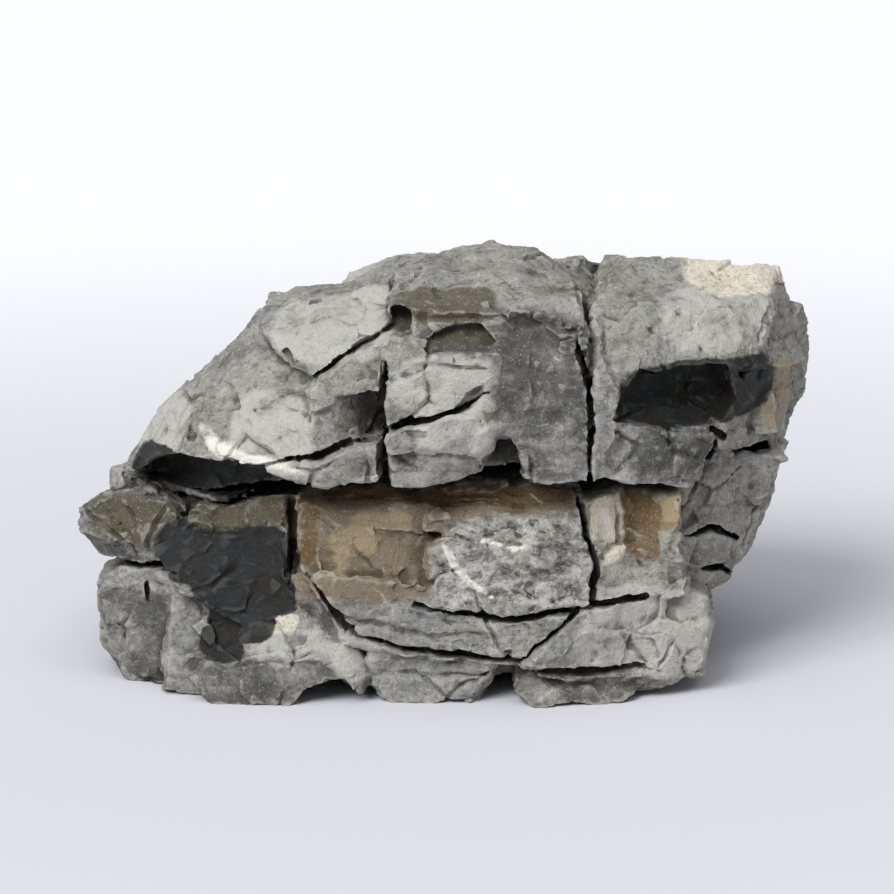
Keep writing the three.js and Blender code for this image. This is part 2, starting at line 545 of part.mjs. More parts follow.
const material = new THREE.MeshStandardMaterial({
  name: "stone",
  color: 0x8f8f8c,
  roughness: 0.88,
  metalness: 0,
});
const rock = new THREE.Mesh(finished, material);
rock.name = "stone";

const part = new THREE.Group();
part.add(rock);

export default part;
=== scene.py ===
"""An aquarium rock of grey bedded limestone: its broken, weathered surface and its materials, made
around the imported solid. Sizes are in millimetres, and are turned to metres where Blender takes them.
"""

import math
from functools import partial

import bmesh
import bpy
import numpy as np
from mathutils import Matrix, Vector
from mathutils.bvhtree import BVHTree


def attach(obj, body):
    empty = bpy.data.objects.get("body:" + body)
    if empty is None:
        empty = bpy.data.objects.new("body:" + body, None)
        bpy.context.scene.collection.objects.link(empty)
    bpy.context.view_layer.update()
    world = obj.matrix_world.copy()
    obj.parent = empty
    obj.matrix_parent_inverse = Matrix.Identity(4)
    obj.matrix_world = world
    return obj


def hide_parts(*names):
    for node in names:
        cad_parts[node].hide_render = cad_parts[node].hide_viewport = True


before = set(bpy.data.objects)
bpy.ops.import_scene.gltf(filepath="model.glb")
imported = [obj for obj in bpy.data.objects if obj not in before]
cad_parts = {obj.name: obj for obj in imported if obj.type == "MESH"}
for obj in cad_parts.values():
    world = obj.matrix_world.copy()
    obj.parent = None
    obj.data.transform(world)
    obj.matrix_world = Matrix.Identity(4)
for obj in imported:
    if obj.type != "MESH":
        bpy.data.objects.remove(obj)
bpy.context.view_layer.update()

MM = 0.001

# How finely the stone is rebuilt before it is weathered, how many triangles are kept of it, and how
# many degrees an edge turns by before it looks sharp
VOXEL = 0.5
TRIANGLES = 192_000
SHARP = 48

# Places on the stone that differ from the rest, as (middle, half size) of rounded boxes.
# Fresh breaks are dark and smooth, and pale rock is bleached. Slaty rock is dark grey and dull, and
# is also painted shade on the foot under the right block, on the lump under the slab's overhang and
# in the shaded side of a hollow. Tan, ochre and iron-stained faces carry clay and iron, and the
# iron-stained places are also painted shade on the lip under the main crack and beside the crack
# on the tan face. Olive faces carry old algae. Veined rock is full of calcite, and a bare crust of
# calcite lies on some places, which are also a painted highlight on a ledge's top and on a facet
# that faces away from the main lamp. Bedded rock, which has no colour of its own, splits into
# thin layers.
PLACES = {
    "fresh": [
        ((66, -42, 81), (20, 18, 8)),
        ((-59, -50, 37), (17, 16, 7)),
        ((-54, -50, 28), (12, 16, 5)),
        ((-55, -50, 21), (8, 16, 4)),
        ((-60, -50, 14), (5, 16, 3)),
        ((-62, -34, 57), (22, 14, 6)),
    ],
    "slate_and_shade": [
        ((30, 64, 40), (18, 12, 12)),
        ((-44, 56, 70), (16, 14, 9)),
        ((25, -56, 82), (12, 9, 20)),
        ((60, -50, 66), (12, 9, 7)),
        # Painted shade: darkens the lump that lies under the slab's overhang
        ((-84, -32, 46), (14, 20, 8)),
        ((-60, -46, 47), (20, 12, 4)),
        ((-86, -34, 36), (12, 16, 4)),
        # Painted shade: darkens the foot, which lies in the shade under the right block
        ((36, -66, 3), (19, 10, 5)),
        # Painted shade: the darker side of the hollow beside the joint
        ((-20, -44, 76), (4, 12, 8)),
        ((15, -54, 64), (8, 8, 4)),
        ((-84, -38, 6), (9, 12, 6)),
        ((-48, -60, 5), (17, 12, 6)),
        ((-84, -38, 18), (9, 12, 6)),
        ((4, -60, 97), (11, 9, 3)),
        ((60, 60, 60), (20, 20, 14)),
        ((-60, 60, 24), (20, 16, 16)),
    ],
    "pale": [
        ((-30, -40, 98), (15, 14, 8)),
        ((-46, -52, 70), (10, 10, 10)),
        ((4, -64, 73), (11, 9, 7)),
        ((42, -54, 46), (4, 14, 8)),
        ((0, -60, 86), (12, 10, 6)),
        ((74, -42, 99), (15, 14, 7)),
        ((52, -56, 26), (14, 8, 4)),
        ((-76, -26, 66), (8, 14, 8)),
        ((50, -54, 16), (20, 10, 9)),
        ((-35, -60, 12), (15, 8, 6)),
        ((-10, 40, 92), (30, 20, 10)),
    ],
    "tan": [
        ((-22, -54, 40), (19, 10, 12)),
        ((-6, -48, 51), (38, 9, 4)),
        ((50, -52, 50), (13, 10, 5)),
        ((-46, -52, 27), (5, 8, 5)),
        ((20, 62, 20), (26, 14, 6)),
        ((-70, 40, 40), (16, 12, 10)),
    ],
    "rust_and_shade": [
        ((51, -46, 45), (5, 12, 8)),
        # Painted shade, with brown clay: the lip under the main crack
        ((0, -46, 54), (30, 9, 2)),
        # Painted shade: the tan face's left side beside the crack
        ((-38, -52, 45), (3, 9, 8)),
        ((44, 62, 24), (8, 8, 4)),
    ],
    "ochre": [
        ((-18, -54, 47), (8, 9, 3)),
        ((-25, -54, 42), (6, 9, 3)),
        ((-31, -54, 36), (5, 9, 3)),
        ((56, -50, 50), (5, 9, 3)),
        ((90, -24, 76), (5, 16, 8)),
    ],
    "veined": [
        ((19, -62, 36), (19, 10, 12)),
        ((-30, 66, 30), (18, 14, 12)),
        ((80, 20, 84), (12, 20, 12)),
    ],
    "cream_and_highlight": [
        ((79, -16, 108), (13, 14, 5)),
        # Painted highlight: brightens a pale facet that faces away from the main lamp
        ((42, -54, 45), (4, 14, 8)),
        # Painted highlight on a ledge's top edge, over its pale crust
        ((-46, -58, 20.5), (6, 7, 2)),
    ],
    "olive": [
        ((-1, -48, 104), (12, 10, 3)),
        ((-12, -40, 101), (4, 9, 4)),
        ((-86, -34, 44), (9, 16, 5)),
        ((-60, -47, 47), (18, 9, 3)),
        ((4, -52, 97.5), (8, 7, 2)),
        ((40, 50, 78), (12, 12, 6)),
    ],
    "bedded": [
        ((-2, -62, 20), (36, 12, 9)),
        ((-3, -64, 65), (14, 10, 7)),
        ((60, -50, 64), (14, 12, 8)),
        ((-2, -62, 6), (18, 12, 6)),
        ((78, -20, 40), (14, 24, 16)),
        ((-60, -30, 56), (24, 20, 8)),
        ((0, 62, 40), (50, 20, 14)),
    ],
}

# White calcite that fills old cracks, as paths of (x, y, z, width)
CALCITE = [
    [(-71, -46, 77, 1.4), (-66, -50, 72, 3), (-58, -53, 66.5, 3.6), (-47, -57, 63.6, 2.6)],
    [(-47, -57, 63.6, 2.6), (-36, -59, 62, 1.6), (-18, -60, 61.3, 1.4)],
    [(0, -63, 44, 1.4), (2, -63, 39, 2.2), (6, -65, 34, 2.0), (12, -65, 29, 1.2)],
    [(8, -63, 44, 1.0), (17, -65, 42, 1.6), (26, -65, 44, 1.0)],
    [(42, -51, 50, 2.2), (44, -52, 43, 2.6)],
    [(-76, -42, 26, 1), (-66, -46, 24, 1.6), (-55, -50, 20, 1.0)],
]

# Hairline cracks, too thin for the blocked-out solid, as (depth, path of (x, y, z, width))
GROOVES = [
    (0.7, [(22, -60, 93, 0.8), (22.8, -61, 84, 0.9), (22, -61, 78, 0.7)]),
    (1.5, [(12, -49, 105, 1.2), (19, -52, 101, 1.6), (25, -52, 101, 1.0), (30, -53, 99, 1.6)]),
    (1.2, [(-36, -54, 80, 0.8), (-33, -55, 74, 1.0), (-34, -56, 68, 0.8)]),
    (1.2, [(44, -58, 73, 0.8), (50, -57, 69, 1.2), (45, -58, 62, 0.9)]),
    (1.0, [(58, -55, 75, 0.8), (60, -54, 66, 0.8), (66, -51, 64, 0.9)]),
    (1.0, [(-14, -62, 88, 0.8), (-4, -62, 91, 0.9), (10, -60, 90, 0.7)]),
    (1.0, [(-70, -44, 88, 0.9), (-60, -46, 84, 0.9), (-50, -44, 88, 0.7)]),
    (1.2, [(-30, -60, 24, 0.9), (-10, -62, 19, 1.1), (8, -62, 18, 0.9), (24, -61, 19, 0.8)]),
    (1.0, [(-8, -62, 24, 0.7), (6, -62, 21, 0.8)]),
    (1.2, [(-12, -63, 7, 0.9), (10, -63, 8, 0.9)]),
    (1.2, [(-62, -58, 8, 0.9), (-46, -60, 12, 1.0), (-30, -60, 9, 0.8)]),
    (1.3, [(50, -55, 36, 0.8), (58, -52, 32, 0.9)]),
    (1.2, [(40, -57, 20, 0.8), (52, -56, 17, 1.0), (64, -52, 19, 0.8)]),
]

# The rock's colour, and its tones, stains, painted shade and painted highlights, each laid over the
# last: the pattern it follows, the pattern's values where it starts and where it is full, its share
# there, the kind of place it keeps to if any, and its colour
ROCK = "8b8c89"
TONES = [
    ("patches", 0.40, 0.60, 1.0, None, "918d83"),
    ("clouds", 0.42, 0.62, 0.8, None, "a7a59e"),
    ("clouds", 0.48, 0.34, 0.65, None, "686865"),
    ("laminae", 0.53, 0.66, 0.4, None, "74736e"),
    ("laminae", 0.44, 0.34, 0.35, None, "b0ada5"),
    ("blots", 0.54, 0.64, 0.4, None, "bcbab3"),
    ("blots", 0.46, 0.36, 0.5, None, "5c5b56"),
    ("specks", 0.56, 0.68, 0.5, None, "c4c2bb"),
    ("specks", 0.45, 0.34, 0.55, None, "4c4b47"),
    ("clouds", 0.22, 0.54, 0.8, "pale", "c4c2ba"),
    # Dull dark grey rock, and in some of its places painted shade
    ("clouds", 0.72, 0.42, 0.88, "slate_and_shade", "4d4d4a"),
    ("clouds", 0.10, 0.50, 0.85, "tan", "84755e"),
    ("laminae", 0.50, 0.62, 0.45, "tan", "776650"),
    ("laminae", 0.30, 0.60, 0.7, "ochre", "b29e7c"),
    # Iron stain, and in some of its places painted shade
    ("laminae", 0.20, 0.50, 0.85, "rust_and_shade", "6d5534"),
    ("blots", 0.50, 0.62, 0.5, "rust_and_shade", "54402a"),
    ("clouds", 0.20, 0.55, 0.85, "olive", "5a5441"),
    # A bare calcite crust, and in some of its places a painted highlight
    ("specks", 0.20, 0.50, 0.9, "cream_and_highlight", "e6decd"),
    ("blots", 0.56, 0.66, 0.5, "cream_and_highlight", "b5a789"),
    ("blots", 0.48, 0.60, 0.75, "veined", "c4c3be"),
    ("blots", 0.44, 0.36, 0.8, "veined", "454542"),
    ("grit", 0.60, 0.70, 0.4, None, "d0cec7"),
    ("grit", 0.40, 0.30, 0.4, None, "3b3a37"),
    ("blots", 0.05, 0.20, 0.96, "fresh", "181919"),
    ("clouds", 0.48, 0.66, 0.6, "fresh", "2b2f33"),
    ("specks", 0.58, 0.72, 0.4, "fresh", "54575a"),
    ("net", 0.05, 0.015, 0.5, "netted", "d4d2cb"),
    ("veins", 0.012, 0.004, 0.5, "veinable", "d0cec6"),
    # Painted highlight, with wear: pale where the surface stands out from its close surroundings, and
    # lighter grey on the edges of fresh breaks
    ("edge", 0.15, 0.50, 0.4, "old", "c6c3ba"),
    ("edge", 0.10, 0.40, 0.3, "fresh", "666763"),
    # Painted shade, with dirt that settles there: dark brown where the surface lies below its wider
    # surroundings, and darkest where light is shut out
    ("hollow", 0.10, 0.80, 0.6, None, "332f28"),
    ("depth", 0.40, 0.90, 0.65, None, "1c1914"),
    ("streak", 1.12, 1.52, 0.95, None, "eeebe2"),
]


def linear(code):
    """An sRGB hex colour as linear red, green, blue and alpha."""
    parts = [int(code[i:i + 2], 16) / 255 for i in (0, 2, 4)]
    return [c / 12.92 if c <= 0.04045 else ((c + 0.055) / 1.055) ** 2.4 for c in parts] + [1.0]


# Sockets of the node that mixes two colours, which go by number because their names repeat
FIRST_COLOUR, SECOND_COLOUR, MIXED_COLOUR = 6, 7, 2

# Fades that start and end softly
SOFT = {"interpolation_type": "SMOOTHSTEP"}


def add(tree, kind, inputs=(), out=0, **settings):
    """Adds a node with its settings. Its inputs, in order or by name, are values or other nodes'
    sockets, and None leaves one as it is. Gives back the socket named or numbered out."""
    node = tree.nodes.new(kind)
    for name, value in settings.items():
        setattr(node, name, value)
    for name, value in inputs.items() if isinstance(inputs, dict) else enumerate(inputs):
        if isinstance(value, bpy.types.NodeSocket):
            tree.links.new(value, node.inputs[name])
        elif value is not None:
            node.inputs[name].default_value = value
    return node.outputs[out] if node.outputs else node


def coordinates(mesh):
    """The mesh's points as an array of millimetres."""
    values = np.zeros(len(mesh.vertices) * 3, np.float32)
    mesh.vertices.foreach_get("co", values)
    return values.reshape(-1, 3).astype(np.float64) / MM


def keep_values(mesh, name, values):
    """Stores one number for each point of the mesh."""
    layer = mesh.attributes.new(name, "FLOAT", "POINT")
    layer.data.foreach_set("value", values.astype(np.float32))


def inside(points, middle, half):
    """1 inside a rounded box, fading to 0 at a third more than its half size."""
    squareness, end, fade = 4, 1.33, 0.4
    share = np.abs((points - np.array(middle)) / np.array(half))
    reach = np.sum(share ** squareness, axis=1) ** (1 / squareness)
    return np.clip((end - reach) / fade, 0, 1)


def beside(points, path):
    """How close each point lies to a path of (x, y, z, width): 1 on it, 0 from its width away. How
    far one is behind the other counts for a quarter, because a path only runs near its face."""
    squash = np.array([1, 0.25, 1])
    closest = np.zeros(len(points))
    for start, end in zip(path, path[1:]):
        a, b = np.array(start[:3]) * squash, np.array(end[:3]) * squash
        along = points * squash - a
        share = np.clip(along @ (b - a) / np.sum((b - a) ** 2), 0, 1)
        gap = np.linalg.norm(along - share[:, None] * (b - a), axis=1)
        width = start[3] + share * (end[3] - start[3])
        closest = np.maximum(closest, np.clip(1 - gap / width, 0, 1))
    return closest


def mark_places(mesh):
    """Writes each kind of place and the calcite as numbers from 0 to 1 at every point of the mesh,
    and how deep the hairline cracks are there."""
    points = coordinates(mesh)
    for name, places in PLACES.items():
        keep_values(mesh, name, np.max([inside(points, *place) for place in places], axis=0))
    keep_values(mesh, "calcite", np.max([beside(points, path) for path in CALCITE], axis=0))
    cut = [depth * np.sqrt(beside(points, path)) for depth, path in GROOVES]
    keep_values(mesh, "cut", np.max(cut, axis=0))


def broken_surface():
    """The node tree that turns the blocked-out solid into broken rock: wandering edges, plates that
    split at their own slopes, thin beds, creases, pits, open fissures and grain."""
    tree = bpy.data.node_groups.new("broken surface", "GeometryNodeTree")
    node = partial(add, tree)
    tree.interface.new_socket("Geometry", in_out="INPUT", socket_type="NodeSocketGeometry")
    for name, value in [
        ("Edge wander", 2.2), ("Plate size", 15.0), ("Plate depth", 0.65), ("Bed height", 4.2),
        ("Bed depth", 1.0), ("Crease size", 9.0), ("Crease depth", 0.3), ("Grain size", 2.4),
        ("Grain depth", 0.55), ("Pit spacing", 6.5), ("Pit depth", 1.3), ("Fissure spacing", 26.0),
        ("Fissure depth", 1.1),
    ]:
        socket = tree.interface.new_socket(name, in_out="INPUT", socket_type="NodeSocketFloat")
        socket.default_value = value
    tree.interface.new_socket("Material", in_out="INPUT", socket_type="NodeSocketMaterial")
    tree.interface.new_socket("Geometry", in_out="OUTPUT", socket_type="NodeSocketGeometry")
    given = tree.nodes.new("NodeGroupInput").outputs

    # Every edge and crack wanders: the whole solid is bent a little, in two sizes of wave. A noise
    # lies within a half of its middle, and is doubled, so that the input is the most it can reach.
    start = node("GeometryNodeInputPosition")
    bent = start
    middle = (0.5, 0.5, 0.5)
    for wave, share in [(15.0, 1.0), (5.0, 0.3)]:
        waves = {"Vector": start, "Scale": 1 / (wave * MM), "Detail": 1.0}
        push = node("ShaderNodeTexNoise", waves, out="Color")
        push = node("ShaderNodeVectorMath", (push, middle), operation="SUBTRACT")
        reach = node("ShaderNodeMath", (given["Edge wander"], share * 2 * MM), operation="MULTIPLY")
        push = node("ShaderNodeVectorMath", {0: push, "Scale": reach}, operation="SCALE")
        bent = node("ShaderNodeVectorMath", (bent, push), operation="ADD")
    shape = node("GeometryNodeSetPosition", {"Geometry": given["Geometry"], "Position": bent})

    # From here on places are in millimetres, once as they are and once ragged.
    place = node("GeometryNodeInputPosition")
    normal = node("GeometryNodeInputNormal")
    mm = node("ShaderNodeVectorMath", {0: place, "Scale": 1 / MM}, operation="SCALE")
    ragged = mm
    for wave, reach in [(16.0, 5.0), (3.6, 1.3)]:
        waves = {"Vector": mm, "Scale": 1 / wave, "Detail": 2.0}
        push = node("ShaderNodeTexNoise", waves, out="Color")
        ragged = node("ShaderNodeVectorMath", (push, (reach,) * 3, ragged), operation="MULTIPLY_ADD")
    marks = {
        name: node("GeometryNodeInputNamedAttribute", (name,), data_type="FLOAT")
        for name in ("fresh", "tan", "veined", "bedded", "cut")
    }

    # Plates: each cell of the rock is split at a slope of its own. They come in three sizes, the
    # later two shifted so that their cells fall elsewhere, and all are flatter than wide.
    steepness = 2.4
    flatter = (1, 1, 1.4)
    plates = []
    for share, shift in [(1.0, 0.0), (0.4, 50.0), (0.17, 90.0)]:
        size = node("ShaderNodeMath", (given["Plate size"], share), operation="MULTIPLY")
        cells = node("ShaderNodeVectorMath", (ragged, size), operation="DIVIDE")
        shifted = (cells, flatter, (shift, 0, 0))
        cells = node("ShaderNodeVectorMath", shifted, operation="MULTIPLY_ADD")
        colour = node("ShaderNodeTexVoronoi", {"Vector": cells, "Scale": 1.0}, out="Color")
        slope = node("ShaderNodeVectorMath", (colour, middle), operation="SUBTRACT")
        centre = colour.node.outputs["Position"]
        away = node("ShaderNodeVectorMath", (cells, centre), operation="SUBTRACT")
        plate = node("ShaderNodeVectorMath", (slope, away), out="Value", operation="DOT_PRODUCT")
        plates.append(node("ShaderNodeMath", (plate, steepness * share), operation="MULTIPLY"))

    # Beds: layers and thinner ones in them, dipping a little, that stand out by different amounts
    # on steep faces. They show in patches, and wherever the rock is bedded.
    rise = node("ShaderNodeSeparateXYZ", (normal,), out="Z")
    level = node("ShaderNodeMath", (rise,), operation="ABSOLUTE")
    steep = node("ShaderNodeMapRange", (level, 0.8, 0.3), **SOFT)
    patch = node("ShaderNodeTexNoise", {"Vector": mm, "Scale": 1 / 26, "Detail": 1.0})
    patch = node("ShaderNodeMapRange", (patch, 0.48, 0.60, 0.0, 0.8), **SOFT)
    bedded = node("ShaderNodeMath", (patch, marks["bedded"]), operation="MAXIMUM")
    bedded = node("ShaderNodeMath", (bedded, steep), operation="MULTIPLY")
    dip = (0.06, 0.05, 1.0)
    along = node("ShaderNodeVectorMath", (ragged, dip), out="Value", operation="DOT_PRODUCT")
    beds = 0.0
    for share in (1.0, 0.4):
        height = node("ShaderNodeMath", (given["Bed height"], share), operation="MULTIPLY")
        layer = node("ShaderNodeMath", (along, height), operation="DIVIDE")
        layer = {"W": layer, "Scale": 1.0}
        layer = node("ShaderNodeTexVoronoi", layer, out="Color", voronoi_dimensions="1D")
        layer = node("ShaderNodeMath", (layer, 0.5), operation="SUBTRACT")
        beds = node("ShaderNodeMath", (layer, share, beds), operation="MULTIPLY_ADD")
    beds = node("ShaderNodeMath", (beds, bedded), operation="MULTIPLY")

    # Grain: rough noise of the weathered skin
    cells = node("ShaderNodeVectorMath", (mm, given["Grain size"]), operation="DIVIDE")
    waves = {"Vector": cells, "Scale": 1.0, "Detail": 5.0, "Roughness": 0.62}
    grain = node("ShaderNodeTexNoise", waves)
    grain = node("ShaderNodeMath", (grain, 0.5), operation="SUBTRACT")

    # Creases: hairline valleys where noise crosses its middle
    cells = node("ShaderNodeVectorMath", (ragged, given["Crease size"]), operation="DIVIDE")
    crease = node("ShaderNodeTexNoise", {"Vector": cells, "Scale": 1.0, "Detail": 3.0})
    crease = node("ShaderNodeMath", (crease, 0.5), operation="SUBTRACT")
    crease = node("ShaderNodeMath", (crease,), operation="ABSOLUTE")
    crease = node("ShaderNodeMapRange", (crease, 0.0, 0.05, -1.0, 0.0))

    # Pits: some cells hold a round hole that water has eaten.
    cells = node("ShaderNodeVectorMath", (ragged, given["Pit spacing"]), operation="DIVIDE")
    apart = node("ShaderNodeTexVoronoi", {"Vector": cells, "Scale": 1.0}, out="Distance")
    chance = node("ShaderNodeSeparateXYZ", (apart.node.outputs["Color"],))
    radius = node("ShaderNodeMapRange", (chance, 0.8, 1.0, 0.0, 0.3))
    pits = node("ShaderNodeMath", (radius, apart), operation="SUBTRACT")
    pits = node("ShaderNodeMapRange", (pits, 0.0, 0.12, 0.0, -1.0), **SOFT)

    # Fissures: thin cracks along the borders of large cells, open only in places
    cells = node("ShaderNodeVectorMath", (ragged, given["Fissure spacing"]), operation="DIVIDE")
    border = node("ShaderNodeTexVoronoi", {"Vector": cells, "Scale": 1.0}, feature="DISTANCE_TO_EDGE")
    border = node("ShaderNodeMapRange", (border, 0.03, 0.008), **SOFT)
    opened = node("ShaderNodeTexNoise", {"Vector": mm, "Scale": 1 / 19, "Detail": 1.0})
    opened = node("ShaderNodeMapRange", (opened, 0.5, 0.6, 0.0, -1.0), **SOFT)
    fissures = node("ShaderNodeMath", (border, opened), operation="MULTIPLY")

    # Fresh and tan faces are smoother than the rest, and veined rock is rougher.
    rough = 1.0
    for name, share in [("fresh", -0.35), ("tan", -0.45), ("veined", 0.7)]:
        rough = node("ShaderNodeMath", (marks[name], share, rough), operation="MULTIPLY_ADD")

    # All of it together: the large plates and the fissures are as deep everywhere, and the finer
    # relief as deep as its place is rough.
    height = node("ShaderNodeMath", (plates[0], given["Plate depth"]), operation="MULTIPLY")
    cracked = (fissures, given["Fissure depth"], height)
    height = node("ShaderNodeMath", cracked, operation="MULTIPLY_ADD")
    for relief, name in [
        (plates[1], "Plate depth"), (plates[2], "Plate depth"), (beds, "Bed depth"),
        (crease, "Crease depth"), (grain, "Grain depth"), (pits, "Pit depth"),
    ]:
        worn = node("ShaderNodeMath", (relief, rough), operation="MULTIPLY")
        height = node("ShaderNodeMath", (worn, given[name], height), operation="MULTIPLY_ADD")
    height = node("ShaderNodeMath", (height, marks["cut"]), operation="SUBTRACT")
    height = node("ShaderNodeMath", (height, MM), operation="MULTIPLY")

    push = node("ShaderNodeVectorMath", {0: normal, "Scale": height}, operation="SCALE")
    shape = node("GeometryNodeSetPosition", {"Geometry": shape, "Offset": push})
    shape = node("GeometryNodeRealizeInstances", (shape,))
    shape = node("GeometryNodeSetMaterial", {"Geometry": shape, "Material": given["Material"]})
    node("NodeGroupOutput", (shape,))
    return tree


def applied(piece):
    """Replaces a piece's mesh by what its modifiers make of it, and removes them."""
    depsgraph = bpy.context.evaluated_depsgraph_get()
    made = bpy.data.meshes.new_from_object(
        piece.evaluated_get(depsgraph), preserve_all_data_layers=True, depsgraph=depsgraph)
    piece.modifiers.clear()
    old = piece.data
    piece.data = made
    bpy.data.meshes.remove(old)


def neighbours_mean(mesh, values, rounds):
    """Values at the points, each mixed with its neighbours' mean a number of times."""
    edges = np.zeros(len(mesh.edges) * 2, np.int32)
    mesh.edges.foreach_get("vertices", edges)
    a, b = edges.reshape(-1, 2).T
    count = len(mesh.vertices)
    degree = np.bincount(a, minlength=count) + np.bincount(b, minlength=count)
    for _ in range(rounds):
        total = [np.bincount(a, row[b], count) + np.bincount(b, row[a], count) for row in values.T]
        values = 0.5 * values + 0.5 * np.stack(total, axis=1) / degree[:, None]
    return values


def mark_hollows(mesh):
    """Writes how far each point stands out from its close surroundings in millimetres, as edge, how
    far it lies below its wider ones, as hollow, and what share of the light is shut out, as depth."""
    close_rounds, wide_rounds, light_rounds = 3, 12, 2
    points = coordinates(mesh)
    normals = np.zeros(len(points) * 3, np.float32)
    mesh.vertices.foreach_get("normal", normals)
    normals = normals.reshape(-1, 3).astype(np.float64)
    close = neighbours_mean(mesh, points, close_rounds)
    keep_values(mesh, "edge", np.einsum("ij,ij->i", points - close, normals))
    wide = neighbours_mean(mesh, close, wide_rounds)
    keep_values(mesh, "hollow", np.einsum("ij,ij->i", wide - points, normals))

    # Rays spread evenly over a ball by the golden angle, and turned to the side that each point
    # faces. They start just off the surface, and a hit counts for less the further off it is.
    rays, lift, reach = 16, 0.4, 22.0
    golden = math.pi * (3 - math.sqrt(5))
    turn = np.arange(rays) * golden
    height = 1 - (2 * np.arange(rays) + 1) / rays
    flat = np.sqrt(1 - height ** 2)
    ball = np.stack([np.cos(turn) * flat, np.sin(turn) * flat, height], axis=1)
    bvh = BVHTree.FromPolygons(points.tolist(), [tuple(face.vertices) for face in mesh.polygons])
    shut = np.zeros(len(points))
    origins = (points + normals * lift).tolist()
    for ray in ball:
        # A little less than the whole ray, so that none can cancel out the normal
        towards = normals + ray * 0.98
        towards /= np.linalg.norm(towards, axis=1)[:, None]
        hits = [bvh.ray_cast(o, d, reach)[3] for o, d in zip(origins, towards.tolist())]
        shut += [0.0 if hit is None else 1 - hit / reach for hit in hits]
    keep_values(mesh, "depth", neighbours_mean(mesh, shut[:, None] / rays, light_rounds)[:, 0])


def limestone():
    """Bedded limestone, split and weathered: matt, fine grained and grey, with white calcite in its
    old cracks, iron and clay stains where water ran, and blue-black rock on its fresh breaks. Its
    colour also holds painted shade in hollows, in deep recesses and in some dark places, and
    painted highlights on edges and in some pale places."""
    material = bpy.data.materials.new("weathered limestone")
    material.use_nodes = True
    tree = material.node_tree
    node = partial(add, tree)
    shader = tree.nodes["Principled BSDF"]
    shader.inputs["Specular IOR Level"].default_value = 0.3
    place = node("ShaderNodeTexCoord", out="Object")

    # Noises: how wide a patch is in millimetres, how much flatter than wide, its detail and its
    # roughness. Real grit is too fine for the picture, and is drawn as coarse as it needs to show.
    patterns = {}
    for name, size, flatter, detail, roughness in [
        ("patches", 45.0, 1.0, 3.0, 0.6), ("clouds", 12.0, 1.3, 8.0, 0.66),
        ("laminae", 14.0, 5.0, 6.0, 0.62), ("blots", 3.4, 1.2, 6.0, 0.66),
        ("specks", 1.3, 1.0, 4.0, 0.7), ("grit", 0.5, 1.0, 2.0, 0.6), ("ragged", 5.0, 1.0, 6.0, 0.7),
    ]:
        flat = node("ShaderNodeVectorMath", (place, (1, 1, flatter)), operation="MULTIPLY")
        values = {"Vector": flat, "Scale": 1 / (size * MM), "Detail": detail, "Roughness": roughness}
        patterns[name] = node("ShaderNodeTexNoise", values)

    # Calcite: a close net, and hair veins further apart, both bent out of their straight lines
    bend = {"Vector": place, "Scale": 1 / (9.0 * MM), "Detail": 4.0}
    bend = node("ShaderNodeTexNoise", bend, out="Color")
    bent = node("ShaderNodeVectorMath", (bend, (7 * MM,) * 3, place), operation="MULTIPLY_ADD")
    for name, spacing in [("net", 5.5), ("veins", 34.0)]:
        cells = {"Vector": bent, "Scale": 1 / (spacing * MM)}
        patterns[name] = node("ShaderNodeTexVoronoi", cells, feature="DISTANCE_TO_EDGE")

    # Marks from the mesh. Two noises break up the edges of the places and of the calcite streaks,
    # whose fades start about where the noises alone end. Fresh breaks have the sharpest edges.
    for name in ("edge", "hollow", "depth", "calcite"):
        patterns[name] = node("ShaderNodeAttribute", out="Fac", attribute_name=name)
    noise_share = 0.8
    spread = {}
    coloured = [name for name in PLACES if name != "bedded"]
    for name in coloured:
        mark = node("ShaderNodeAttribute", out="Fac", attribute_name=name)
        mark = node("ShaderNodeMath", (patterns["ragged"], noise_share, mark), operation="MULTIPLY_ADD")
        mark = node("ShaderNodeMath", (patterns["clouds"], noise_share, mark), operation="MULTIPLY_ADD")
        limits = (1.14, 1.40) if name == "fresh" else (1.05, 1.55)
        spread[name] = node("ShaderNodeMapRange", (mark, *limits), **SOFT)
    streak = (patterns["ragged"], noise_share, patterns["calcite"])
    streak = node("ShaderNodeMath", streak, operation="MULTIPLY_ADD")
    streak = node("ShaderNodeMath", (patterns["blots"], noise_share, streak), operation="MULTIPLY_ADD")
    patterns["streak"] = streak

    # Further kinds of place, made of those: old is all that isn't fresh, and hair veins and the net
    # keep to the cloudy parts of old and of veined rock.
    spread["old"] = node("ShaderNodeMath", (1.0, spread["fresh"]), operation="SUBTRACT")
    for name, kind, low, high in [("veinable", "old", 0.56, 0.64), ("netted", "veined", 0.46, 0.56)]:
        rare = node("ShaderNodeMapRange", (patterns["clouds"], low, high), **SOFT)
        spread[name] = node("ShaderNodeMath", (spread[kind], rare), operation="MULTIPLY")

    colour = linear(ROCK)
    for name, low, high, most, kind, paint in TONES:
        share = node("ShaderNodeMapRange", (patterns[name], low, high, 0.0, most), **SOFT)
        if kind:
            share = node("ShaderNodeMath", (share, spread[kind]), operation="MULTIPLY")
        blend = {0: share, FIRST_COLOUR: colour, SECOND_COLOUR: linear(paint)}
        colour = node("ShaderNodeMix", blend, out=MIXED_COLOUR, data_type="RGBA")
    tree.links.new(colour, shader.inputs["Base Color"])

    # Fresh breaks have a faint sheen, and all else is matt.
    matt, sheen = 0.93, 0.6
    gloss = node("ShaderNodeMapRange", (spread["fresh"], 0.0, 1.0, matt, sheen))
    tree.links.new(gloss, shader.inputs["Roughness"])

    # Grain too fine for the mesh, as bumps in the shading
    grain = patterns["grit"]
    for name, share in [("specks", 1.6), ("blots", 2.4)]:
        grain = node("ShaderNodeMath", (patterns[name], share, grain), operation="MULTIPLY_ADD")
    bump = node("ShaderNodeBump", {"Strength": 1.0, "Distance": 0.35 * MM, "Height": grain})
    tree.links.new(bump, shader.inputs["Normal"])
    return material


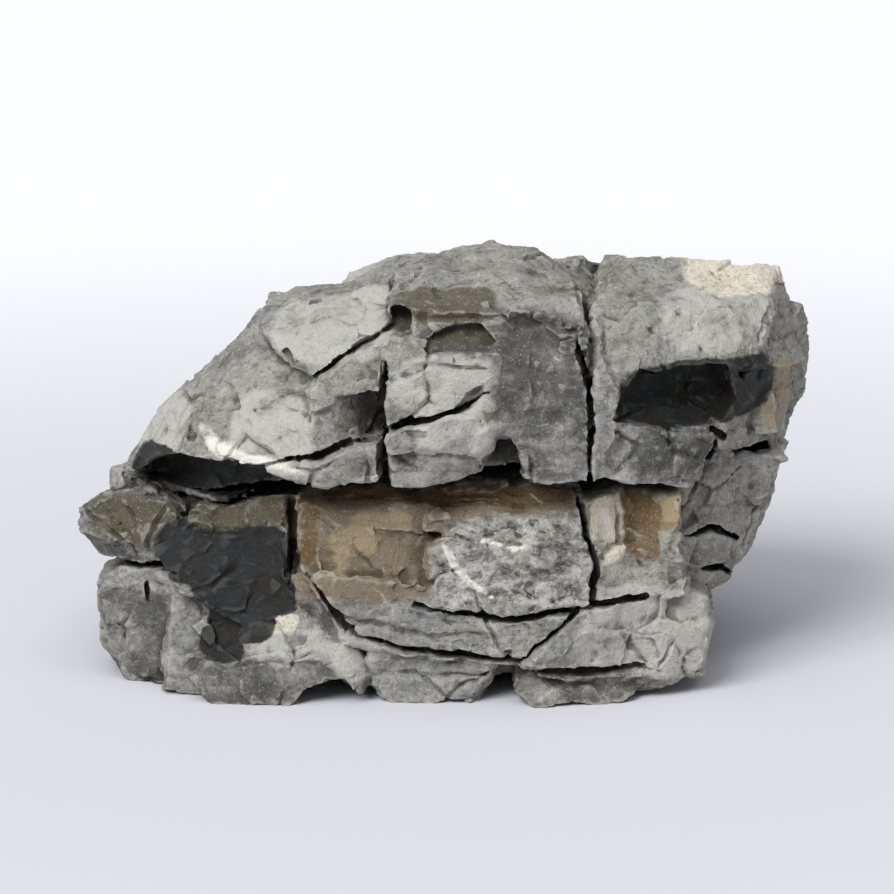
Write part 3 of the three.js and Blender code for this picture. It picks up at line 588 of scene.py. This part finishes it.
def make_stone():
    """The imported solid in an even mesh, marked, broken, thinned, and marked again for its colours."""
    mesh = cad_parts["stone"].data.copy()
    mesh.materials.clear()

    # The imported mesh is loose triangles, and its copy is joined up first.
    work = bmesh.new()
    work.from_mesh(mesh)
    bmesh.ops.remove_doubles(work, verts=work.verts, dist=0.001 * MM)
    work.to_mesh(mesh)
    work.free()

    stone = bpy.data.objects.new("stone_surface", mesh)
    bpy.context.scene.collection.objects.link(stone)
    remesh = stone.modifiers.new("even mesh", "REMESH")
    remesh.mode = "VOXEL"
    remesh.voxel_size = VOXEL * MM
    applied(stone)
    mark_places(stone.data)

    weather = stone.modifiers.new("broken surface", "NODES")
    weather.node_group = broken_surface()
    for item in weather.node_group.interface.items_tree:
        if item.name == "Material":
            weather[item.identifier] = limestone()
    stone.modifiers.new("triangles", "TRIANGULATE")
    applied(stone)
    thin = stone.modifiers.new("thinning", "DECIMATE")
    thin.ratio = min(1.0, TRIANGLES / len(stone.data.polygons))
    applied(stone)

    # Nothing goes through the surface that the stone stands on.
    points = coordinates(stone.data)
    points[:, 2] = np.maximum(points[:, 2], 0)
    stone.data.vertices.foreach_set("co", (points * MM).astype(np.float32).ravel())
    stone.data.update()
    mark_hollows(stone.data)
    stone.data.shade_smooth()
    stone.data.set_sharp_from_angle(angle=math.radians(SHARP))
    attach(stone, "root")
    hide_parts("stone")


def make_floor():
    """A pale paper floor, four metres each way. Its colour grows white away from the stone: painted
    light, standing in for an over-lit background."""
    mesh = bpy.data.meshes.new("floor")
    reach = 4.0
    corners = [(-reach, -reach, 0), (reach, -reach, 0), (reach, reach, 0), (-reach, reach, 0)]
    mesh.from_pydata(corners, [], [(0, 1, 2, 3)])
    floor = bpy.data.objects.new("floor", mesh)
    bpy.context.scene.collection.objects.link(floor)
    paper = bpy.data.materials.new("matt paper")
    paper.use_nodes = True
    tree = paper.node_tree
    node = partial(add, tree)
    shader = tree.nodes["Principled BSDF"]
    shader.inputs["Roughness"].default_value = 0.9
    place = node("ShaderNodeTexCoord", out="Object")
    # Painted light: the paper is coloured whiter the further it lies from the stone
    away = node("ShaderNodeVectorMath", (place,), out="Value", operation="LENGTH")
    near, far = 0.12, 0.75
    fade = node("ShaderNodeMapRange", (away, near, far), **SOFT)
    blend = {0: fade, FIRST_COLOUR: linear("d9dae1"), SECOND_COLOUR: linear("fbfbfe")}
    colour = node("ShaderNodeMix", blend, out=MIXED_COLOUR, data_type="RGBA")
    tree.links.new(colour, shader.inputs["Base Color"])
    mesh.materials.append(paper)


# The photograph looks at the stone's long side from a little above: degrees, then the camera's
# distance from the point it aims at, that point, and the width of the view there
ELEVATION = 13
DISTANCE = 1100
AIM = (0, 0, 55)
VIEW_WIDTH = 248


def make_camera():
    """The scene's camera, in front of the stone at the photograph's height."""
    data = bpy.data.cameras.new("camera")
    camera = bpy.data.objects.new("camera", data)
    bpy.context.scene.collection.objects.link(camera)
    tilt = math.radians(ELEVATION)
    back = Vector((0, -math.cos(tilt), math.sin(tilt)))
    camera.location = (Vector(AIM) + back * DISTANCE) * MM
    camera.rotation_euler = (-back).to_track_quat("-Z", "Y").to_euler()
    data.lens = data.sensor_width * DISTANCE / VIEW_WIDTH
    bpy.context.scene.camera = camera


def make_lamp(name, turn, height, spread, strength):
    """A far studio lamp. Turn and height are where it stands as seen from the stone, and spread is
    how wide it looks from there, all in degrees."""
    data = bpy.data.lights.new(name, "SUN")
    data.angle = math.radians(spread)
    data.energy = strength
    lamp = bpy.data.objects.new(name, data)
    bpy.context.scene.collection.objects.link(lamp)
    turn, height = math.radians(turn), math.radians(height)
    level = math.cos(height)
    towards = Vector((math.sin(turn) * level, -math.cos(turn) * level, math.sin(height)))
    lamp.rotation_euler = towards.to_track_quat("Z", "Y").to_euler()


def make_lights():
    """Soft light from all round, a broad lamp overhead, and the main one high on the left in front."""
    world = bpy.data.worlds.new("studio")
    world.use_nodes = True
    light = world.node_tree.nodes["Background"].inputs
    light["Color"].default_value = linear("f4f6fb")
    light["Strength"].default_value = 0.28
    bpy.context.scene.world = world
    make_lamp("overhead lamp", 0, 80, 60, 0.95)
    make_lamp("main lamp", -36, 42, 34, 2.4)


make_camera()
make_floor()
make_lights()
make_stone()
bpy.context.scene.view_settings.view_transform = "Standard"
